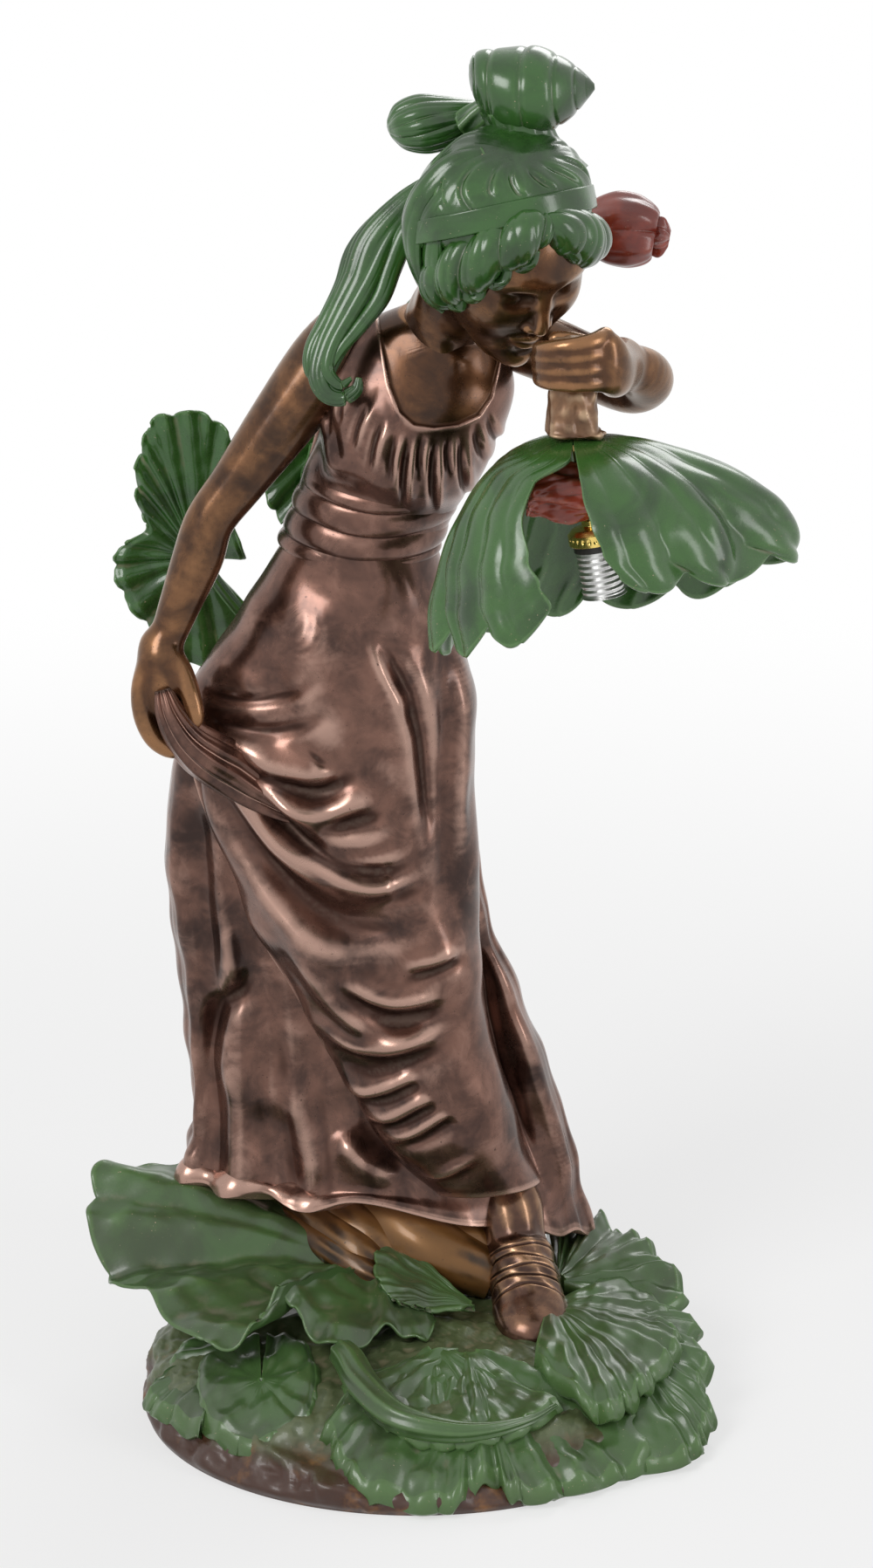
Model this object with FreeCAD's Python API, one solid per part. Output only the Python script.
"""Figural table lamp in cast bronze, cold-painted green and red, in millimetres.

A young woman walks forward over a mound of water-lily leaves.  With one hand she lifts the side of her
skirt; with the other she holds a stem to her face.  The stem ends in an upturned leaf, which is the shade,
and a bare screw-shell lampholder hangs under it.  A second stalk rises behind her with a big leaf and a
red poppy.

Frame: +Z is up, -Y is the side the figure faces, +X is the side the shade hangs on.  The origin is the
middle of the flat underside of the base.  Every casting is its own solid, skinned with flat facets through
its sections.  Neighbours are cut to each other's surface, the way the founder fits and pins the sections.
"""
import FreeCAD, Part
import math
import os

V = FreeCAD.Vector
X, Y, Z = V(1, 0, 0), V(0, 1, 0), V(0, 0, 1)

# ---------------------------------------------------------------- driving dimensions
FIT = 0.3                  # clearance between pieces that are put together
TABLE_GAP = 1.5            # nothing but the mound's foot comes nearer the table
LEAF_WALL = 4.0            # leaves that stand free
BED_DEPTH = 16.0           # leaves that lie on the mound, down into it
BASE_WALL = 8.0            # cast wall of the hollow mound
BASE_SIDE = 200.0          # reach of the mound's foot to either side
BASE_FRONT = 187.0
BASE_BACK = 186.0
# levels of the mound: height, reach to the left, right, front and back
MOUND = [(0, BASE_SIDE - 2, BASE_SIDE - 3, BASE_FRONT - 3, BASE_BACK - 2),
         (7, BASE_SIDE, BASE_SIDE, BASE_FRONT, BASE_BACK), (16, 199, 193, 180, 181), (31, 196, 182, 160, 171),
         (45, 189, 166, 132, 155), (56, 166, 132, 92, 128), (63, 100, 78, 44, 84)]
COVER_THICK = 2.0          # steel plate that closes the hollow
COVER_INSET = 1.0          # how far the plate sits above the table
COVER_GAP = 0.4            # plate to its rebate, all round
COVER_LEDGE = 14.0         # plate's edge, in from the foot of the mound
COVER_SEAT = 11.0          # width of the ledge that the plate seats on
COVER_SCREW_R = 2.0
COVER_SCREW_LENGTH = 11.0
COVER_SCREW_HEAD_R = 4.0
INLET_Z = 15.0             # hole for the lead, in the back of the mound
INLET_STAND = 3.0          # its flat seat, out from the mound's side at that height
INLET_BORE_R = 5.0
INLET_PLAY = 0.1           # bush to its hole
INLET_FLANGE_R = 7.5
INLET_FLANGE = 2.5
INLET_INSIDE = 26.0        # how far the bush reaches in
INLET_LEAD_R = 3.5
PIN_PLACES = [(80, 40), (-44, 92), (36, 118)]   # bolts that hold the figure to the mound
PIN_R = 4.0
PIN_HEAD_R = 7.0
PIN_HEAD_HEIGHT = 5.0
PIN_HEAD_Z = 45.0
PIN_TOP_Z = 112.0
STEM_AXIS = V(101, -150, 0)   # the stem in the hand stands on the crown of the shade
STEM_R = 16.0
STEM_HEIGHT = 62.0
SHADE_CROWN_Z = 748.0
SHADE_WALL = 3.0
SHADE_PLEATS = 17
SHADE_PLEAT = 3.0          # height of the pleats at the rim
SHADE_BEND = 97.0          # degrees the leaf turns down between crown and rim
TUBE_R = 4.8               # threaded tube that carries the lampholder
TUBE_BORE_R = 3.4
TUBE_LENGTH = 96.0
TUBE_IN_CAP = 3.6
LEAD_R = 1.3               # each insulated conductor
NUT_ACROSS = 14.0
NUT_HEIGHT = 4.0
HOLDER_TOP = V(113.5, -150, 693)
HOLDER_WAY = V(0.177, 0, -0.984)   # down, out of the lampholder's mouth
CAP_R = 17.0               # spun brass cap of the lampholder
CAP_HEIGHT = 15.0
CAP_WALL = 0.9
INSULATOR_R = 14.6
INSULATOR_START = 9.0      # from the top of the cap
INSULATOR_HEIGHT = 11.0
SHELL_BORE_R = 13.3        # screw shell, inside
SHELL_WALL = 0.6
SHELL_LENGTH = 31.0
SHELL_NECK_R = 12.3        # where the shell is drawn in round the insulator
SHELL_NECK = 3.0
CONTACT_R = 4.0            # centre contact on the insulator
CONTACT_HEAD = 0.8
CONTACT_SHANK_R = 2.0
CONTACT_SHANK = 2.8
SCREW_R = 1.5              # set screw and terminal screws
TERMINAL_TURN = 35.0       # degrees the two terminals stand round from the sides
CALYX_R = 18.0             # red sleeve round the tube
STALK_R = 8.0              # second stalk, behind the figure

# ---------------------------------------------------------------- main stations of the figure
WAIST = V(-38, 32, 640)
NECK_ROOT = V(10, -8, 776)
HEAD_CENTRE = V(59, -76, 868)
FACE_WAY = V(0.45, -0.645, -0.616)     # where the nose points
CROWN_WAY = V(0.236, -0.579, 0.78)     # where the crown points
RIGHT_SHOULDER = V(-48, -2, 786)
RIGHT_ELBOW = V(-137, -12, 665)
RIGHT_WRIST = V(-176, -16, 566)
LEFT_SHOULDER = V(58, 14, 786)
LEFT_ELBOW = V(143, -54, 762)
LEFT_WRIST = V(127, -116, 788)
FINGER_RISE = 10.4         # one finger above the next on the stem
POPPY = V(140, 60, 848)
POPPY_WAY = V(1, -0.12, -0.16)


# ---------------------------------------------------------------- shaping tools
def unit(v):
    return V(v).normalize()


def blend(a, b, t):
    return a + (b - a) * t


def bump(x, centre, width):
    """A smooth hill of height 1 at centre, gone at about two widths away."""
    return math.exp(-((x - centre) / width) ** 2)


def faceted(points, triangles):
    """A solid bounded by flat triangles over shared points."""
    shape = Part.Shape()
    shape.makeShapeFromMesh((points, triangles), 0.001)
    solid = Part.Solid(shape.Shells[0])
    if solid.Volume < 0:
        solid.reverse()
    return solid


def ring(centre, way, side, half_side, half_other, lobes=None, count=16):
    """A closed section across `way`: half_side along `side`, half_other across it.

    Each half may be a pair (towards plus, towards minus).  lobes(angle) adds to the radius.
    """
    way = unit(way)
    side = unit(side - way * side.dot(way))
    other = way.cross(side)
    pair_a = half_side if isinstance(half_side, tuple) else (half_side, half_side)
    pair_b = half_other if isinstance(half_other, tuple) else (half_other, half_other)
    points = []
    for k in range(count):
        angle = 2 * math.pi * k / count
        c, s = math.cos(angle), math.sin(angle)
        a = pair_a[0] if c >= 0 else pair_a[1]
        b = pair_b[0] if s >= 0 else pair_b[1]
        extra = lobes(angle) if lobes else 0.0
        points.append(centre + side * (c * (a + extra)) + other * (s * (b + extra)))
    return points


def diagonal(points, a, b, c, d):
    """Two triangles over the four-sided patch a-b-d-c, split along its shorter diagonal."""
    if (points[a] - points[d]).Length <= (points[b] - points[c]).Length:
        return [(a, b, d), (a, d, c)]
    return [(a, b, c), (b, d, c)]


def loft(rings):
    """A faceted skin through rings of equal count, closed by a flat end at each side."""
    count = len(rings[0])
    last = (len(rings) - 1) * count
    points = [p for section in rings for p in section]
    triangles = []
    for i in range(len(rings) - 1):
        for k in range(count):
            a, b = i * count + k, i * count + (k + 1) % count
            triangles += diagonal(points, a, b, a + count, b + count)
    for section in (rings[0], rings[-1]):
        points.append(sum(section[1:], section[0]) * (1.0 / count))
    for k in range(count):
        after = (k + 1) % count
        triangles.append((len(points) - 2, after, k))
        triangles.append((len(points) - 1, last + k, last + after))
    return faceted(points, triangles)


def limb(stations, side, count=10):
    """A tapering solid through (centre, radius or (radius, radius)) stations."""
    rings = []
    for i, (centre, radius) in enumerate(stations):
        before = stations[max(i - 1, 0)][0]
        after = stations[min(i + 1, len(stations) - 1)][0]
        a, b = radius if isinstance(radius, tuple) else (radius, radius)
        rings.append(ring(centre, after - before, side, a, b, count=count))
    return loft(rings)


def along(stations, t):
    """The point at t, from 0 to 1, on a smooth line through the stations."""
    place = t * (len(stations) - 1)
    i = min(int(place), len(stations) - 2)
    s = place - i
    a, b = stations[i], stations[i + 1]
    before = stations[i - 1] if i else a * 2 - b
    after = stations[i + 2] if i + 2 < len(stations) else b * 2 - a
    cubic = a * 3 - b * 3 - before + after
    square = before * 2 - a * 5 + b * 4 - after
    return a + (b - before) * (0.5 * s) + square * (0.5 * s ** 2) + cubic * (0.5 * s ** 3)


def sheet(point, across, down, wall, up=Z, deep=False):
    """A leaf: point(u, v) is its upper face for u and v from 0 to 1, and `up` is the upper side.

    Its underside lies one wall below, or straight down and never under the table where the leaf is `deep`.
    """
    step = 0.01

    def normal(u, v):
        du = point(min(u + step, 1), v) - point(max(u - step, 0), v)
        dv = point(u, min(v + step, 1)) - point(u, max(v - step, 0))
        return du.cross(dv).normalize()

    side = wall if normal(0.5, 0.3).dot(up) > 0 else -wall

    def under(u, v):
        top = point(u, v)
        if deep:
            return V(top.x, top.y, max(top.z - wall, TABLE_GAP))
        return top - normal(u, v) * side

    places = [(i / across, j / down) for i in range(across + 1) for j in range(down + 1)]
    points = [point(u, v) for u, v in places] + [under(u, v) for u, v in places]
    below = len(places)
    row = down + 1
    triangles = []
    for i in range(across):
        for j in range(down):
            a, b = i * row + j, i * row + j + 1
            top = diagonal(points, a, b, a + row, b + row)
            triangles += [(p, r, q) for p, q, r in top]
            triangles += [(p + below, q + below, r + below) for p, q, r in top]
    edge = [i * row for i in range(across)] + [across * row + j for j in range(down)]
    edge += [i * row + down for i in range(across, 0, -1)] + list(range(down, 0, -1))
    for a, b in zip(edge, edge[1:] + edge[:1]):
        triangles += [(a, b + below, b), (a, a + below, b + below)]
    return faceted(points, triangles)


def leaf(root, rim, across, down=3, wall=LEAF_WALL, hub=0.1, bow=0.0, ribs=0, rib=0.0, up=Z, deep=False):
    """A leaf from its root to a rim through the given points.

    bow lifts the blade between root and rim; `ribs` pleats of height `rib` run out to the rim.
    """
    def point(u, v):
        r = hub + (1 - hub) * v
        lift = bow * 4 * r * (1 - r) + rib * r * math.sin(2 * math.pi * ribs * u)
        return root + (along(rim, u) - root) * r + up * lift

    return sheet(point, across, down, wall, up, deep)


def mound_leaf(root, rim, across, **shape):
    """A leaf that lies on the mound and is cast in one with its bed."""
    return leaf(root, rim, across, wall=BED_DEPTH, deep=True, **shape)


def only_largest(shape):
    """The main body of a cut casting, without crumbs."""
    return max(shape.Solids, key=lambda s: s.Volume)


def save(name, shape):
    solids = shape.Solids
    if not solids or any(not s.isValid() or s.Volume <= 0 for s in solids):
        raise RuntimeError(f"{name}: no valid solid")
    body = solids[0] if len(solids) == 1 else Part.makeCompound(solids)
    body.exportStep(f"parts/{name}.step")
    print(f"{name}: {len(solids)} solid(s), {shape.Volume / 1000:.1f} cm3")


# ---------------------------------------------------------------- mound and its fittings
def mound_ring(level, inset=0.0, lower=0.0):
    """One level of the mound, drawn in by `inset` and let down by `lower`."""
    z, left, right, front, back = MOUND[level]

    def lobes(angle):
        return (2.5 * math.sin(3 * angle + 0.6) + 1.5 * math.sin(5 * angle)) * (1 - z / 90)

    return ring(V(0, 0, z - lower), Z, X, (right - inset, left - inset), (back - inset, front - inset), lobes,
                count=24)


def plate_ring(inset, z):
    """The outline of the cover plate's rebate at height z."""
    return [V(p.x, p.y, z) for p in mound_ring(0, inset)]


def prism(outline, height):
    return Part.Face(Part.makePolygon(outline + outline[:1])).extrude(Z * height)


def inlet_seat_y():
    """The flat seat of the inlet, at the back of the mound."""
    return MOUND[2][4] + INLET_STAND


def make_base():
    levels = range(len(MOUND))
    rebate_top = COVER_INSET + COVER_THICK
    outer = loft([mound_ring(level) for level in levels])
    floor = [V(p.x, p.y, rebate_top - 1) for p in mound_ring(0, COVER_LEDGE + COVER_SEAT)]
    hollow = loft([floor, mound_ring(3, COVER_LEDGE + 14, BASE_WALL), mound_ring(4, 30, BASE_WALL),
                   mound_ring(5, 30, BASE_WALL)])
    body = outer.cut(hollow).cut(prism(plate_ring(COVER_LEDGE - COVER_GAP, -1), rebate_top + 1))
    for place in cover_screw_places():
        body = body.cut(Part.makeCylinder(COVER_SCREW_R, COVER_SCREW_LENGTH, place, Z))
    seat_y = inlet_seat_y()
    body = body.cut(Part.makeCylinder(INLET_BORE_R + INLET_PLAY, seat_y, V(0, 0, INLET_Z), Y))
    body = body.cut(Part.makeCylinder(INLET_FLANGE_R + 1, 30, V(0, seat_y, INLET_Z), Y))
    for x, y in PIN_PLACES:
        body = body.cut(Part.makeCylinder(PIN_R + FIT, 60, V(x, y, PIN_HEAD_Z), Z))
        body = body.cut(Part.makeCylinder(PIN_HEAD_R + 1.5, PIN_HEAD_Z - 5, V(x, y, 5), Z))
    return only_largest(body.removeSplitter())


def cover_screw_places():
    mid = COVER_LEDGE + 6
    for k in range(4):
        angle = math.radians(45 + 90 * k)
        yield V((MOUND[0][1] - mid) * math.cos(angle), (MOUND[0][3] - mid) * math.sin(angle), COVER_INSET)


def make_cover():
    plate = prism(plate_ring(COVER_LEDGE, COVER_INSET), COVER_THICK)
    for place in cover_screw_places():
        plate = plate.cut(Part.makeCylinder(COVER_SCREW_R + 0.2, COVER_THICK, place, Z))
    return plate


def headed(place, way, head_r, head, shank_r, shank):
    """A round head below `place` and a round shank beyond it."""
    way = unit(way)
    low = Part.makeCylinder(head_r, head, place - way * head, way)
    return low.fuse(Part.makeCylinder(shank_r, shank, place, way)).removeSplitter()


def make_cover_screws():
    return [headed(place, Z, COVER_SCREW_HEAD_R, COVER_INSET, COVER_SCREW_R, COVER_SCREW_LENGTH)
            for place in cover_screw_places()]


def make_inlet_bush():
    start = V(0, inlet_seat_y(), INLET_Z)
    body = Part.makeCylinder(INLET_BORE_R, INLET_INSIDE, start - Y * INLET_INSIDE, Y)
    bush = body.fuse(Part.makeCylinder(INLET_FLANGE_R, INLET_FLANGE, start, Y)).removeSplitter()
    rim = [e for e in bush.Edges if e.BoundBox.YMin > start.y + INLET_FLANGE - 0.01]
    bush = bush.makeChamfer(0.8, rim)
    return bush.cut(Part.makeCylinder(INLET_LEAD_R, INLET_INSIDE + INLET_FLANGE, start - Y * INLET_INSIDE, Y))


def make_pins():
    return [headed(V(x, y, PIN_HEAD_Z), Z, PIN_HEAD_R, PIN_HEAD_HEIGHT, PIN_R, PIN_TOP_Z - PIN_HEAD_Z)
            for x, y in PIN_PLACES]


def pin_holes():
    return [Part.makeCylinder(PIN_R + FIT, PIN_TOP_Z + FIT - PIN_HEAD_Z, V(x, y, PIN_HEAD_Z), Z)
            for x, y in PIN_PLACES]


# ---------------------------------------------------------------- leaves and roots on the mound
def make_left_lily_leaf():
    """The big leaf at the left: it stands clear of the mound and its rim is folded up once in front."""
    rim = [V(-150, 112, 132), V(-205, 92, 152), V(-240, 66, 150), V(-238, 34, 118), V(-220, 6, 88),
           V(-203, -8, 98), V(-180, -42, 92), V(-140, -84, 84), V(-116, -74, 92), V(-98, -48, 108),
           V(-82, -60, 94), V(-60, -70, 78), V(-36, -56, 77), V(-18, -36, 76), V(4, -42, 70), V(14, -18, 72)]
    return leaf(V(-34, 46, 84), rim, across=30, hub=0.16, bow=4)


def make_round_leaf():
    rim = [V(-116, -28, 64), V(-146, -30, 62), V(-156, -52, 56), V(-154, -82, 48), V(-146, -108, 38),
           V(-128, -127, 33), V(-98, -135, 38), V(-75, -125, 48), V(-71, -93, 60), V(-80, -45, 66),
           V(-104, -28, 65)]
    return mound_leaf(V(-110, -88, 54), rim, across=20, hub=0.16, ribs=8, rib=1.2)


def make_low_side_leaf():
    rim = [V(-155, -12, 62), V(-172, -32, 57), V(-176, -48, 50), V(-191, -52, 38), V(-187, -66, 33),
           V(-172, -84, 36), V(-152, -108, 34)]
    return mound_leaf(V(-126, -44, 62), rim, across=12, hub=0.2, ribs=5, rib=1.2)


def make_front_leaf():
    rim = [V(-40, -96, 60), V(-62, -130, 49), V(-52, -150, 42), V(-45, -165, 33), V(-28, -180, 25),
           V(3, -186, 21), V(24, -186, 20), V(40, -173, 28), V(54, -166, 31), V(70, -174, 22),
           V(90, -169, 19), V(126, -150, 16), V(154, -130, 16), V(166, -100, 34)]
    return mound_leaf(V(34, -56, 68), rim, across=27, bow=2, ribs=9, rib=1.8)


def make_curled_leaf():
    """A leaf whose near edge is rolled over into a tube."""
    roll = limb([(V(-50, -70, 68), 9), (V(-37, -112, 61), 11), (V(-12, -142, 51), 10), (V(24, -153, 46), 8),
                 (V(62, -144, 46), 4)], Z, count=8)
    rim = [V(-40, -100, 62), V(-14, -136, 52), V(24, -148, 48), V(58, -142, 48), V(96, -112, 54)]
    return mound_leaf(V(12, -62, 71), rim, across=10, bow=-3).fuse(roll)


def make_foot_leaf():
    rim = [V(84, -66, 70), V(106, -98, 62), V(130, -120, 56), V(150, -102, 57), V(166, -74, 58),
           V(182, -40, 62), V(186, -8, 58), V(180, 16, 68), V(168, 40, 70), V(154, 64, 68)]
    return mound_leaf(V(96, 4, 70), rim, across=27, bow=3, ribs=7, rib=2)


def make_back_leaf():
    rim = [V(98, 128, 84), V(114, 142, 94), V(122, 128, 82), V(138, 126, 94), V(150, 106, 86), V(166, 92, 92),
           V(176, 68, 82), V(190, 50, 80), V(194, 36, 60), V(172, 20, 64)]
    return mound_leaf(V(104, 46, 72), rim, across=18, ribs=4, rib=1.5)


def make_side_leaf():
    rim = [V(182, 30, 60), V(204, 16, 55), V(196, 0, 51), V(209, -24, 47), V(200, -44, 40), V(210, -68, 28),
           V(198, -84, 24), V(199, -98, 20), V(187, -116, 16), V(158, -130, 15)]
    return mound_leaf(V(128, -20, 62), rim, across=24, bow=2, ribs=5, rib=1.5)


def make_fan_leaf():
    rim = [V(-26, 60, 112), V(-28, 40, 104), V(-30, 16, 98), V(-24, -4, 90), V(-12, -16, 84), V(6, -20, 82)]
    return leaf(V(44, -10, 76), rim, across=12, down=2, wall=10, hub=0.16, bow=3, ribs=5, rib=1.0)


ROOT_LOBES = [
    [(V(-22, 22, 82), 9), (V(-52, 40, 92), 12), (V(-86, 72, 100), 12), (V(-118, 100, 108), 8)],
    [(V(-26, 44, 84), 14), (V(-46, 62, 98), 22), (V(-84, 88, 112), 16)],
    [(V(52, 44, 84), 20), (V(20, 56, 92), 30), (V(-22, 80, 108), 28), (V(-64, 104, 116), 18)],
]


def make_roots():
    lobes = [limb(stations, Z, count=10) for stations in ROOT_LOBES]
    return lobes[0].multiFuse(lobes[1:])


# ---------------------------------------------------------------- skirt
# height, centre x, centre y, reach left, right, front, back
REAR_SKIRT = [
    (640, -38, 34, 50, 50, 40, 44), (560, -44, 52, 84, 78, 50, 66), (500, -54, 62, 112, 94, 44, 76),
    (430, -58, 70, 118, 98, 40, 80), (350, -54, 78, 120, 104, 38, 82), (270, -48, 86, 120, 120, 36, 84),
    (200, -42, 94, 124, 136, 36, 84), (150, -34, 98, 134, 148, 50, 80),
]
REAR_HEM = (V(-22, 102, 112), V(0.17, 0.3, 1), (150, 166), (76, 64))
FRONT_SKIRT = [
    (645, -38, 30, 49, 49, 45, 30), (582, -46, 34, 82, 72, 55, 30), (536, -52, 34, 104, 90, 57, 24),
    (486, -52, 34, 112, 92, 56, 22), (421, -42, 34, 101, 86, 54, 22), (356, -32, 36, 86, 76, 52, 22),
    (289, -12, 42, 74, 60, 49, 20), (221, 16, 48, 64, 49, 46, 20), (180, 34, 54, 58, 44, 42, 18),
]
FRONT_HEM = (V(54, 62, 142), V(-0.1, 0.16, 1), (37, 42), (20, 38))


def skirt(stations, hem, folds, depth, twist):
    """Rings from the waist to the hem; the folds deepen downwards and `twist` leads them across."""
    rings = []
    top, low = stations[0][0], stations[-1][0]

    def fold(height):
        fall = (top - height) / (top - low)
        return lambda angle: depth * fall * math.sin(folds * angle + twist * fall)

    for z, x, y, left, right, front, back in stations:
        rings.append(ring(V(x, y, z), Z, X, (right, left), (back, front), fold(z), count=36))
    centre, way, sides, depths = hem
    rings.append(ring(centre, way, X, sides, depths, fold(low), count=36))
    return loft(rings)


def make_rear_skirt():
    return skirt(REAR_SKIRT, REAR_HEM, folds=9, depth=6.0, twist=0.6)


def make_front_skirt():
    return skirt(FRONT_SKIRT, FRONT_HEM, folds=6, depth=2.2, twist=9.0)


# ---------------------------------------------------------------- torso
def make_bodice():
    up = NECK_ROOT - WAIST
    shoulders = V(0.1, -0.1, 1)
    rings = [
        ring(WAIST, up, X, 50, 42, count=20),
        ring(blend(WAIST, NECK_ROOT, 0.32), up, X, 53, 44, count=20),
        ring(blend(WAIST, NECK_ROOT, 0.5), up, X, (60, 56), (46, 56), count=20),
        ring(blend(WAIST, NECK_ROOT, 0.68), up, X, (62, 58), (46, 60), count=20),
        ring(blend(WAIST, NECK_ROOT, 0.86), shoulders, X, (62, 64), (40, 46), count=20),
        ring(NECK_ROOT + V(0, 0, 10), shoulders, X, (46, 50), (30, 32), count=20),
        ring(NECK_ROOT + V(6, -6, 22), V(0.3, -0.3, 1), X, 27, 25, count=20),
    ]
    return loft(rings)


def make_sash():
    up = unit(NECK_ROOT - WAIST)
    slant = unit(up + V(-0.28, 0.1, 0))
    return loft([ring(WAIST + up * t, slant, X, 52 + grow, 44 + grow, lambda a: 0.8 * math.sin(4 * a),
                      count=20)
                 for t, grow in ((-6, 2), (4, 5), (20, 3.5), (26, 5), (42, 3.5), (48, 4.5), (56, 2))])


# ---------------------------------------------------------------- head and hair
def head_point(up=0.0, out=0.0, side=0.0):
    """A place in the head: towards the crown, the face and the figure's left ear."""
    crown = unit(CROWN_WAY)
    face = unit(FACE_WAY - crown * crown.dot(FACE_WAY))
    return HEAD_CENTRE + crown * up + face * out + crown.cross(face) * side


HEAD_PROFILE = [  # height from the head's centre, reach to the face, to the nape, half width
    (-70, 38, 0, 9), (-62, 50, 8, 20), (-50, 54, 22, 31), (-40, 55, 30, 36), (-30, 55, 37, 39),
    (-18, 55, 43, 42), (-6, 54, 47, 44), (4, 54, 49, 46), (16, 52, 50, 46), (32, 39, 48, 42),
    (44, 24, 38, 32), (54, 10, 16, 12),
]


def face_relief(height):
    """A calm, regular face: how far it stands out at each angle round from the nose."""
    nose = 14 * bump(height, -20, 9) + 6 * bump(height, -7, 9)
    lips = 3.5 * bump(height, -41, 6)
    socket = -5.5 * bump(height, -3, 9)
    chin = 3.0 * bump(height, -60, 8)

    def relief(angle):
        turn = (angle + math.pi) % (2 * math.pi) - math.pi
        return (nose * bump(turn, 0, 0.17) + (lips + chin) * bump(turn, 0, 0.34)
                + socket * bump(abs(turn), 0.42, 0.2))

    return relief


def make_head():
    rings = [ring(head_point(up), CROWN_WAY, FACE_WAY, (front, back), half, face_relief(up), count=32)
             for up, front, back, half in HEAD_PROFILE]
    neck = limb([(NECK_ROOT + V(-2, 2, 4), (28, 27)), (V(24, -28, 808), (25, 26)),
                 (V(38, -50, 834), (26, 27)), (head_point(-22, -12), (24, 24))], X, count=14)
    return loft(rings).fuse(neck)


HAIR_CAP = [  # height from the head's centre, shift to the face, reach to the face, to the nape, half width
    (-40, -22, 18, 32, 36), (-22, -20, 30, 42, 48), (0, -12, 42, 50, 53), (20, -8, 50, 52, 54),
    (38, -7, 44, 46, 49), (50, -9, 33, 37, 39), (58, -10, 16, 18, 20),
]


def make_hair_cap():
    return loft([ring(head_point(up, out), CROWN_WAY, FACE_WAY, (front, back), half,
                      lambda a: 1.2 * math.sin(8 * a), count=24)
                 for up, out, front, back, half in HAIR_CAP])


FRINGE = [  # place in the head, radius of the roll
    ((-43, 12, -44), 6), ((-34, 12, -45), 12), ((-18, 16, -47), 16), ((1, 24, -45), 17),
    ((16, 31, -37), 16), ((28, 35, -26), 14), ((37, 36, -14), 11), ((39, 36, -3), 9), ((34, 38, 9), 13),
    ((24, 37, 26), 17), ((11, 30, 44), 16), ((2, 20, 52), 11), ((-3, 8, 54), 7),
]


def make_fringe():
    """Waved hair rolled back from the parting, low over the right ear and puffed over the left."""
    return limb([(head_point(*place), radius) for place, radius in FRINGE], CROWN_WAY, count=10)


def make_hair_band():
    tilt = unit(CROWN_WAY) * 0.64 - unit(FACE_WAY) * 0.77
    middle = head_point(6, -8)
    return loft([ring(middle + tilt * rise, tilt, CROWN_WAY, 54 + grow, 54 + grow, count=24)
                 for rise, grow in ((-7.5, -2), (-7, 3.5), (7, 3.5), (7.5, -2))])


LOCK = [  # the hanging lock, from behind the ear to its curled end, with its half width and depth
    (V(16, -18, 884), (11, 11)), (V(2, -18, 866), (16, 13)), (V(-11, -20, 846), (18, 13)),
    (V(-22, -22, 826), (19, 13)), (V(-34, -28, 804), (18, 12)), (V(-49, -36, 785), (15, 11)),
    (V(-61, -44, 770), (12, 9)), (V(-63, -50, 758), (9, 8)), (V(-55, -53, 751), (6, 6)),
    (V(-45, -53, 754), (4, 4)),
]


def make_hair_lock():
    return limb(LOCK, V(1, 0, 0.3))


def bun(stations, y, way, folds, count):
    """A knot of hair through (x, z, half height, half depth) sections."""
    return loft([ring(V(x, y, z), way, Z, high, deep, lambda a: 0.03 * high * math.sin(folds * a),
                      count=count)
                 for x, z, high, deep in stations])


def make_large_bun():
    stations = [(37, 964, 10, 9), (45, 960, 21, 24), (62, 956, 28, 33), (82, 956, 28, 33), (100, 957, 18, 22),
                (111, 958, 8, 9), (116, 958, 2, 2)]
    return bun(stations, -60, V(1, 0, 0.1), 8, 16)


def make_small_bun():
    stations = [(-16, 928, 5, 6), (-10, 929, 14, 17), (6, 932, 19, 23), (24, 933, 17, 19), (44, 936, 12, 14)]
    return bun(stations, -42, V(1, 0, 0.25), 6, 14)


# ---------------------------------------------------------------- arms, hands and shoe
def make_right_arm():
    way = RIGHT_ELBOW - RIGHT_SHOULDER
    return limb([(RIGHT_SHOULDER - way * 0.08, 20), (RIGHT_SHOULDER + way * 0.12, 24),
                 (RIGHT_SHOULDER + way * 0.5, 22.5), (RIGHT_ELBOW - way * 0.15, 18), (RIGHT_ELBOW, 17),
                 (blend(RIGHT_ELBOW, RIGHT_WRIST, 0.4), 17), (blend(RIGHT_ELBOW, RIGHT_WRIST, 0.8), 13),
                 (RIGHT_WRIST, (13, 11.5))], Y, count=14)


def finger(points, radius):
    """A finger through its joints, with a rounded tip."""
    tip = points[-1] + unit(points[-1] - points[-2]) * (0.6 * radius)
    stations = [(p, radius) for p in points] + [(tip, 0.5 * radius)]
    return limb(stations, Z, count=8)


def make_right_hand():
    """A fist round a handful of cloth."""
    w = RIGHT_WRIST
    palm = limb([(w, (11.5, 13)), (w + V(2, -2, -16), (13, 17)), (w + V(7, -3, -36), (14, 19)),
                 (w + V(13, -4, -52), (9, 15))], Y, count=12)
    parts = [palm]
    for k in range(4):
        knuckle = w + V(2, -20 + 11 * k, -42)
        joints = [knuckle, knuckle + V(7, 0, -15), knuckle + V(20, 0, -14), knuckle + V(25, 0, -4)]
        parts.append(finger(joints, 6.4))
    parts.append(finger([w + V(13, -14, -8), w + V(23, -20, -28), w + V(26, -19, -42)], 7.2))
    return parts[0].multiFuse(parts[1:])


def make_left_arm():
    way = LEFT_ELBOW - LEFT_SHOULDER
    return limb([(LEFT_SHOULDER - way * 0.1, 18), (LEFT_SHOULDER + way * 0.15, 24),
                 (LEFT_SHOULDER + way * 0.6, 21), (LEFT_ELBOW + V(6, -2, -2), 18),
                 (blend(LEFT_ELBOW, LEFT_WRIST, 0.45) + V(8, -4, 2), 17), (LEFT_WRIST, (13, 16))],
                Z, count=14)


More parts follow.
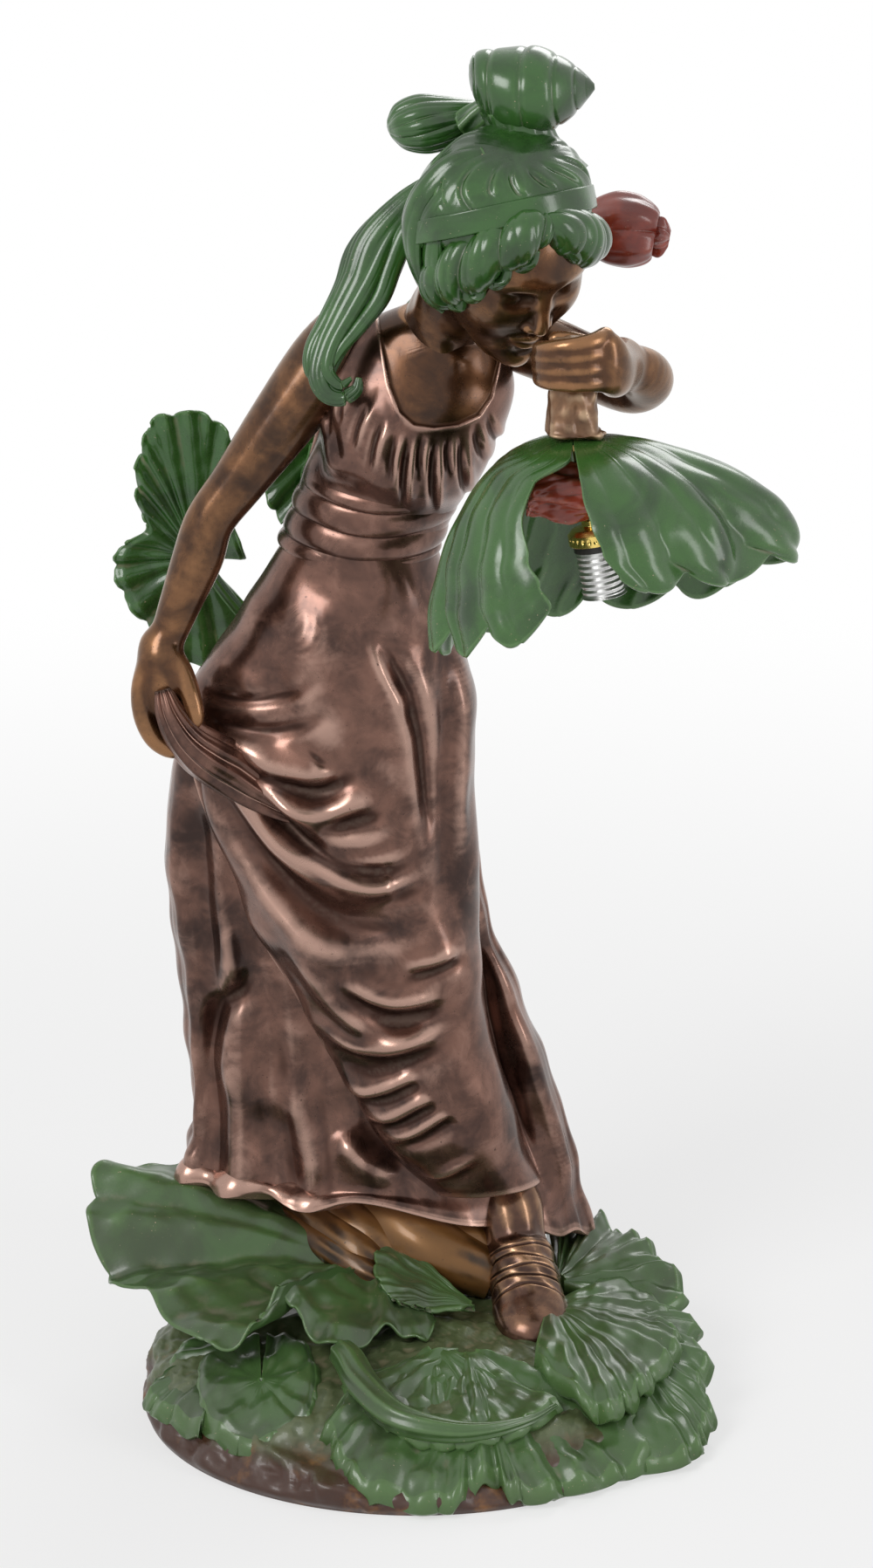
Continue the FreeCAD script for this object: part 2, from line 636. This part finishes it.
def on_stem(height, angle=0.0, radius=0.0):
    """A place round the stem, at a height above the table; angle 0 is towards +X."""
    a = math.radians(angle)
    return V(STEM_AXIS.x + radius * math.cos(a), STEM_AXIS.y + radius * math.sin(a), height)


def make_left_hand():
    """Four fingers closed round the stem, thumb behind it."""
    grip = STEM_R + 5.6
    lowest = SHADE_CROWN_Z + 34
    middle = LEFT_WRIST.z + 9
    palm = limb([(LEFT_WRIST, (12, 15)), (LEFT_WRIST + V(1, -18, 4), (12, 20)),
                 (on_stem(middle, -6, grip + 1), (11, 22)), (on_stem(middle, -40, grip), (8, 19))],
                Z, count=12)
    parts = [palm]
    for k, reach in enumerate((100, 118, 122, 104)):
        height = lowest + FINGER_RISE * k
        parts.append(finger([on_stem(height, -18 - reach * step / 4, grip) for step in range(5)], 5.6))
    parts.append(finger([LEFT_WRIST + V(-4, -20, 16), on_stem(LEFT_WRIST.z + 24, 70, grip),
                         on_stem(LEFT_WRIST.z + 22, 115, grip)], 6.5))
    return parts[0].multiFuse(parts[1:])


def make_shoe():
    """Low boot: two straps over the instep and a round toe cap."""
    shaft = [(V(72, 74, 152), (25, 26)), (V(70, 66, 124), (25, 27)), (V(72, 54, 100), (24, 26)),
             (V(76, 42, 92), (26, 28)), (V(77, 34, 86), (24, 26)), (V(79, 25, 80), (27, 26)),
             (V(80, 17, 75), (25, 24)), (V(82, 6, 68), (27, 22)), (V(84, -8, 63), (27, 19)),
             (V(85, -22, 58), (22, 15)), (V(85, -31, 54), (13, 9))]
    return limb(shaft, X, count=14)


# ---------------------------------------------------------------- rear stalk, leaves and poppy
REAR_STALK = [V(-84, 150, 36), V(-88, 184, 120), V(-84, 189, 210), V(-76, 178, 330), V(-72, 162, 470),
              V(-66, 136, 600), V(-46, 112, 700), V(-4, 98, 784), V(58, 80, 834), V(112, 64, 846)]


def make_rear_stalk():
    """The second stalk, with the short branch that carries its leaf."""
    last = len(REAR_STALK) - 1
    stalk = limb([(p, STALK_R * (1.25 - 0.5 * i / last)) for i, p in enumerate(REAR_STALK)], X, count=8)
    branch = limb([(REAR_STALK[4], 5), (V(-104, 152, 524), 5), (V(-140, 138, 574), 4.5),
                   (V(-156, 132, 600), 4)], Y, count=8)
    return stalk.fuse(branch)


def make_rear_leaf():
    """Lobed leaf behind the right arm."""
    rim = [V(-116, 138, 560), V(-158, 136, 520), V(-196, 128, 548), V(-218, 122, 592), V(-214, 118, 612),
           V(-192, 120, 626), V(-206, 116, 650), V(-212, 112, 676), V(-192, 112, 686), V(-184, 110, 702),
           V(-160, 108, 706), V(-140, 110, 690), V(-128, 112, 654), V(-134, 118, 632), V(-126, 124, 600)]
    return leaf(V(-158, 128, 600), rim, across=30, hub=0.08, bow=-4, up=Y * -1)


def make_waist_leaf():
    rim = [V(-76, 102, 690), V(-86, 104, 650), V(-95, 102, 634), V(-106, 100, 652), V(-110, 100, 684),
           V(-100, 100, 716), V(-80, 101, 724)]
    return leaf(V(-45, 111, 704), rim, across=12, hub=0.08, bow=-3, up=Y * -1)


def poppy_rings(stations, folds, depth):
    way = unit(POPPY_WAY)

    def section(t, r):
        return ring(POPPY + way * t, way, Z, r, r * 0.96, lambda a: depth * r * math.sin(folds * a), count=16)

    return [section(t, r) for t, r in stations]


def make_poppy():
    return loft(poppy_rings(((-30, 6), (-24, 15), (-8, 24), (6, 25), (16, 21), (24, 15)), 4, 0.05))


def make_poppy_heart():
    return loft(poppy_rings(((16, 8), (21, 11), (27, 12), (32, 9), (34, 4)), 4, 0.12))


# ---------------------------------------------------------------- shade and its stem
# degrees round the stem from the front (0 faces -Y, 90 faces +X), reach of the rim, drop of the rim
SHADE_RIM = [(0, 90, 70), (18, 92, 78), (40, 96, 84), (65, 108, 84), (90, 144, 81), (112, 122, 104),
             (135, 112, 130), (180, 100, 140), (215, 92, 146), (250, 90, 150), (270, 88, 138), (300, 82, 132),
             (330, 86, 118), (352, 88, 100)]
# the open bay between the two lobes: share of the way to the rim, its two edges in degrees
SHADE_BAY = [(0, 0, 358), (0.2, 1, 356), (0.36, 2, 331), (0.5, 3, 331), (0.7, 6, 338), (0.85, 10, 344),
             (1, 17, 350)]


def eased(table, place):
    """The other columns of a table at `place` in its first column."""
    for low, high in zip(table, table[1:]):
        if place <= high[0]:
            t = max((place - low[0]) / (high[0] - low[0]), 0)
            t = t * t * (3 - 2 * t)
            return [a + (b - a) * t for a, b in zip(low[1:], high[1:])]
    return list(table[-1][1:])


def shade_point(u, v):
    """The upper face of the shade: u round it from one edge of the bay to the other, v to the rim."""
    first, last = eased(SHADE_BAY, v)
    angle = first + (last - first) * u
    reach, drop = eased(SHADE_RIM, angle)
    scallop = 1 + 0.06 * abs(math.sin(math.pi * 7 * u)) * v ** 3
    bend = math.radians(SHADE_BEND)
    hole = math.asin((TUBE_R + 1.2) * math.sin(bend) / reach)
    turn = hole + (bend - hole) * v
    pleat = SHADE_PLEAT * v * math.sin(2 * math.pi * SHADE_PLEATS * u)
    out = reach * math.sin(turn) / math.sin(bend) + pleat
    down = drop * scallop * (1 - math.cos(turn)) / (1 - math.cos(bend))
    a = math.radians(angle)
    return V(STEM_AXIS.x + out * math.sin(a), STEM_AXIS.y - out * math.cos(a), SHADE_CROWN_Z - down)


def make_shade():
    return sheet(shade_point, 3 * SHADE_PLEATS, 6, SHADE_WALL).cut(tube_way())


def make_stem():
    """Bark-like stem, slightly faceted, bored for the tube."""
    rings = [ring(on_stem(SHADE_CROWN_Z + h) + X * dx, Z, X, STEM_R + grow, STEM_R + grow,
                  lambda a: 0.9 * math.sin(3 * a + 1) + 0.6 * math.sin(5 * a), count=16)
             for h, grow, dx in ((FIT, 3.5, 1), (6, 1, 0), (STEM_HEIGHT * 0.5, 0, 0), (STEM_HEIGHT, -1, -1))]
    return loft(rings).cut(tube_way())


# ---------------------------------------------------------------- lampholder
def on_holder(distance):
    """A point on the lampholder's axis, `distance` below the top of its cap."""
    return HOLDER_TOP + unit(HOLDER_WAY) * distance


def holder_rod(radius, start, length):
    return Part.makeCylinder(radius, length, on_holder(start), unit(HOLDER_WAY))


def tube_way():
    """The clear hole that the threaded tube passes through."""
    return holder_rod(TUBE_R + FIT, -140, 150)


def holder_turn():
    """The turn that takes +Z to the lampholder's axis."""
    return FreeCAD.Rotation(Z, unit(HOLDER_WAY))


def turned(profile, start):
    """Revolves (distance, radius) points about the lampholder's axis."""
    points = [V(r, 0, d) for d, r in profile]
    solid = Part.Face(Part.makePolygon(points + points[:1])).revolve(V(0, 0, 0), Z, 360)
    solid.Placement = FreeCAD.Placement(on_holder(start), holder_turn())
    return solid


def make_tube():
    start = TUBE_IN_CAP - TUBE_LENGTH
    return holder_rod(TUBE_R, start, TUBE_LENGTH).cut(holder_rod(TUBE_BORE_R, start, TUBE_LENGTH))


def make_lock_nut():
    """Nut that clamps the leaf up against the stem."""
    corner = NUT_ACROSS / math.sqrt(3)
    corners = [V(corner * math.cos(math.radians(60 * k)), corner * math.sin(math.radians(60 * k)), 0)
               for k in range(6)]
    nut = prism(corners, NUT_HEIGHT).cut(Part.makeCylinder(TUBE_R, NUT_HEIGHT))
    drop = HOLDER_TOP.z - (SHADE_CROWN_Z - SHADE_WALL - 2.0)
    nut.Placement = FreeCAD.Placement(on_holder(drop / -unit(HOLDER_WAY).z), holder_turn())
    return nut


def calyx_axis():
    """Outer end of the red sleeve, and the way it runs in to the tube."""
    return V(STEM_AXIS.x - 29, STEM_AXIS.y - 6, HOLDER_TOP.z + 21), unit(V(1, 0, -0.06))


def make_calyx():
    """Red-painted crumpled sleeve that hides the tube above the lampholder."""
    start, way = calyx_axis()
    rings = [ring(start + way * t, way, Z, CALYX_R + grow, CALYX_R + grow,
                  lambda a: 0.8 * math.sin(4 * a), count=14)
             for t, grow in ((0, -4), (4, -1), (18, 0), (36, -1), (46, -5))]
    return loft(rings).cut(tube_way())


def make_calyx_ring():
    """Black ring on the outer end of the sleeve."""
    start, way = calyx_axis()
    radius = CALYX_R - 6.5
    body = Part.makeCylinder(radius, 6, start - way * 6, way)
    return body.cut(Part.makeCylinder(radius - 6, 3, start - way * 6, way))


def across_holder():
    """Sideways from the lampholder's axis, level with the front."""
    return unit(unit(HOLDER_WAY).cross(Y))


def make_holder_cap():
    """Spun brass cap: collar for the tube, shoulder, straight skirt."""
    outside = [(0, TUBE_R + 2.2), (3.6, TUBE_R + 2.2), (5.2, 13.6), (8.4, CAP_R), (CAP_HEIGHT, CAP_R)]
    inside = [(CAP_HEIGHT, CAP_R - CAP_WALL), (9.0, CAP_R - CAP_WALL), (6.0, 12.6), (TUBE_IN_CAP + 1, TUBE_R),
              (0, TUBE_R)]
    cap = turned(outside + inside, 0)
    return cap.cut(Part.makeCylinder(SCREW_R, 20, on_holder(1.7), across_holder()))


def make_cap_screw():
    """Set screw in the collar that locks the cap on the tube."""
    return Part.makeCylinder(SCREW_R, 4.6, on_holder(1.7) + across_holder() * TUBE_R, across_holder())


def make_insulator():
    """Moulded block between cap and screw shell, with a notch and a wire hole for each terminal."""
    step = INSULATOR_HEIGHT
    boss = step + SHELL_NECK
    body = turned([(0, 0), (0, INSULATOR_R), (step, INSULATOR_R), (step, SHELL_NECK_R - FIT),
                   (boss, SHELL_NECK_R - FIT), (boss, 0)], INSULATOR_START)
    for place, out in terminal_places():
        body = body.cut(Part.makeCylinder(3.6, 8, place, out))
        body = body.cut(Part.makeCylinder(SCREW_R, 4, place - out * 4, out))
    for start, length in lead_runs():
        body = body.cut(Part.makeCylinder(LEAD_R + 0.2, length, start, unit(HOLDER_WAY)))
    seat = INSULATOR_START + boss - CONTACT_HEAD
    body = body.cut(holder_rod(CONTACT_R + FIT, seat, CONTACT_HEAD))
    return body.cut(holder_rod(CONTACT_SHANK_R, seat - CONTACT_SHANK, CONTACT_SHANK))


def terminal_places():
    for side in (0, 180):
        angle = math.radians(TERMINAL_TURN + side)
        out = holder_turn().multVec(V(math.cos(angle), math.sin(angle), 0))
        yield on_holder(INSULATOR_START + INSULATOR_HEIGHT / 2) + out * (INSULATOR_R - 4), out


def make_terminal_screws():
    return [headed(place + out * 1.6, out * -1, 2.4, 1.6, SCREW_R, 4.6) for place, out in terminal_places()]


def lead_runs():
    """Start and length of the two conductors that come down the tube."""
    for side in (-1, 1):
        start = on_holder(TUBE_IN_CAP - TUBE_LENGTH + 4) + Y * (1.6 * side)
        yield start, TUBE_LENGTH - 4 - TUBE_IN_CAP + INSULATOR_START + 4


def make_leads():
    return [Part.makeCylinder(LEAD_R, length, start, unit(HOLDER_WAY)) for start, length in lead_runs()]


def make_screw_shell():
    """Thin aluminium screw shell with a neck round the insulator and a flared lip."""
    outer = SHELL_BORE_R + SHELL_WALL
    lip = SHELL_LENGTH - 1.2
    profile = [(0, SHELL_NECK_R), (0, outer), (lip, outer), (lip, outer + 1), (SHELL_LENGTH, outer + 1),
               (SHELL_LENGTH, SHELL_BORE_R), (SHELL_NECK, SHELL_BORE_R), (SHELL_NECK, SHELL_NECK_R)]
    return turned(profile, INSULATOR_START + INSULATOR_HEIGHT)


def make_centre_contact():
    """Brass contact let into the insulator, level with the floor of the screw shell."""
    seat = on_holder(INSULATOR_START + INSULATOR_HEIGHT + SHELL_NECK - CONTACT_HEAD)
    return headed(seat, unit(HOLDER_WAY) * -1, CONTACT_R, CONTACT_HEAD, CONTACT_SHANK_R, CONTACT_SHANK)


# ---------------------------------------------------------------- assembly
def build():
    """Every casting and fitting by name, uncut."""
    return {
        "base_casting": make_base(), "base_cover": make_cover(),
        "left_lily_leaf": make_left_lily_leaf(), "round_leaf": make_round_leaf(),
        "low_side_leaf": make_low_side_leaf(), "front_leaf": make_front_leaf(),
        "curled_leaf": make_curled_leaf(), "foot_leaf": make_foot_leaf(), "back_leaf": make_back_leaf(),
        "side_leaf": make_side_leaf(), "fan_leaf": make_fan_leaf(), "root_stalks": make_roots(),
        "rear_skirt": make_rear_skirt(), "front_skirt": make_front_skirt(), "sash": make_sash(),
        "bodice": make_bodice(), "head": make_head(), "hair_cap": make_hair_cap(),
        "hair_fringe": make_fringe(), "hair_band": make_hair_band(), "hair_lock": make_hair_lock(),
        "large_bun": make_large_bun(), "small_bun": make_small_bun(), "right_arm": make_right_arm(),
        "right_hand": make_right_hand(), "left_arm": make_left_arm(), "left_hand": make_left_hand(),
        "shoe": make_shoe(), "rear_stalk": make_rear_stalk(), "rear_leaf": make_rear_leaf(),
        "waist_leaf": make_waist_leaf(),
        "poppy_cup": make_poppy(), "poppy_heart": make_poppy_heart(), "shade_leaf": make_shade(),
        "shade_stem": make_stem(), "threaded_tube": make_tube(), "lock_nut": make_lock_nut(),
        "calyx": make_calyx(), "calyx_ring": make_calyx_ring(), "holder_cap": make_holder_cap(),
        "insulator": make_insulator(), "screw_shell": make_screw_shell(),
    }


# which pieces run behind or under which: the first is cut back to the surface of the others
CUT_BACK = [
    ("root_stalks", ("base_casting",)),
    ("shoe", ("base_casting", "root_stalks")),
    ("left_lily_leaf", ("base_casting", "root_stalks")),
    ("round_leaf", ("base_casting",)),
    ("low_side_leaf", ("base_casting", "round_leaf")),
    ("foot_leaf", ("base_casting", "shoe")),
    ("curled_leaf", ("base_casting", "foot_leaf", "shoe")),
    ("front_leaf", ("base_casting", "curled_leaf", "foot_leaf", "shoe")),
    ("back_leaf", ("base_casting", "shoe", "foot_leaf", "root_stalks")),
    ("side_leaf", ("base_casting", "foot_leaf", "back_leaf", "front_leaf", "shoe")),
    ("fan_leaf", ("base_casting", "root_stalks", "shoe", "foot_leaf")),
    ("front_skirt", ("shoe",)),
    ("rear_skirt", ("front_skirt", "shoe", "root_stalks", "back_leaf", "left_lily_leaf")),
    ("sash", ("front_skirt", "rear_skirt")),
    ("bodice", ("front_skirt", "rear_skirt", "sash")),
    ("head", ("bodice",)),
    ("hair_cap", ("head",)),
    ("hair_fringe", ("head", "hair_cap")),
    ("hair_band", ("head", "hair_cap", "hair_fringe")),
    ("hair_lock", ("head", "hair_cap", "bodice", "hair_fringe", "hair_band")),
    ("large_bun", ("hair_cap", "hair_band", "head")),
    ("small_bun", ("hair_cap", "hair_band", "large_bun", "head")),
    ("right_arm", ("bodice", "hair_lock")),
    ("right_hand", ("right_arm", "front_skirt", "rear_skirt")),
    ("left_arm", ("bodice",)),
    ("left_hand", ("left_arm", "shade_stem", "head")),
    ("rear_stalk", ("base_casting", "rear_skirt", "root_stalks", "left_lily_leaf", "bodice", "sash")),
    ("rear_leaf", ("rear_stalk", "rear_skirt")),
    ("waist_leaf", ("rear_stalk",)),
    ("poppy_cup", ("rear_stalk",)),
    ("poppy_heart", ("poppy_cup",)),
    ("calyx_ring", ("calyx",)),
]


def main():
    os.makedirs("parts", exist_ok=True)
    pieces = build()
    for name, others in CUT_BACK:
        for other in others:
            pieces[name] = only_largest(pieces[name].cut(pieces[other]))
    for name in ("shoe", "rear_skirt", "root_stalks"):
        for hole in pin_holes():
            pieces[name] = only_largest(pieces[name].cut(hole))
    pieces["cover_screws"] = Part.makeCompound(make_cover_screws())
    pieces["inlet_bush"] = make_inlet_bush()
    pieces["figure_pins"] = Part.makeCompound(make_pins())
    pieces["cap_screw"] = make_cap_screw()
    pieces["terminal_screws"] = Part.makeCompound(make_terminal_screws())
    pieces["centre_contact"] = make_centre_contact()
    pieces["lampholder_leads"] = Part.makeCompound(make_leads())
    for name, shape in pieces.items():
        save(name, shape)


main()
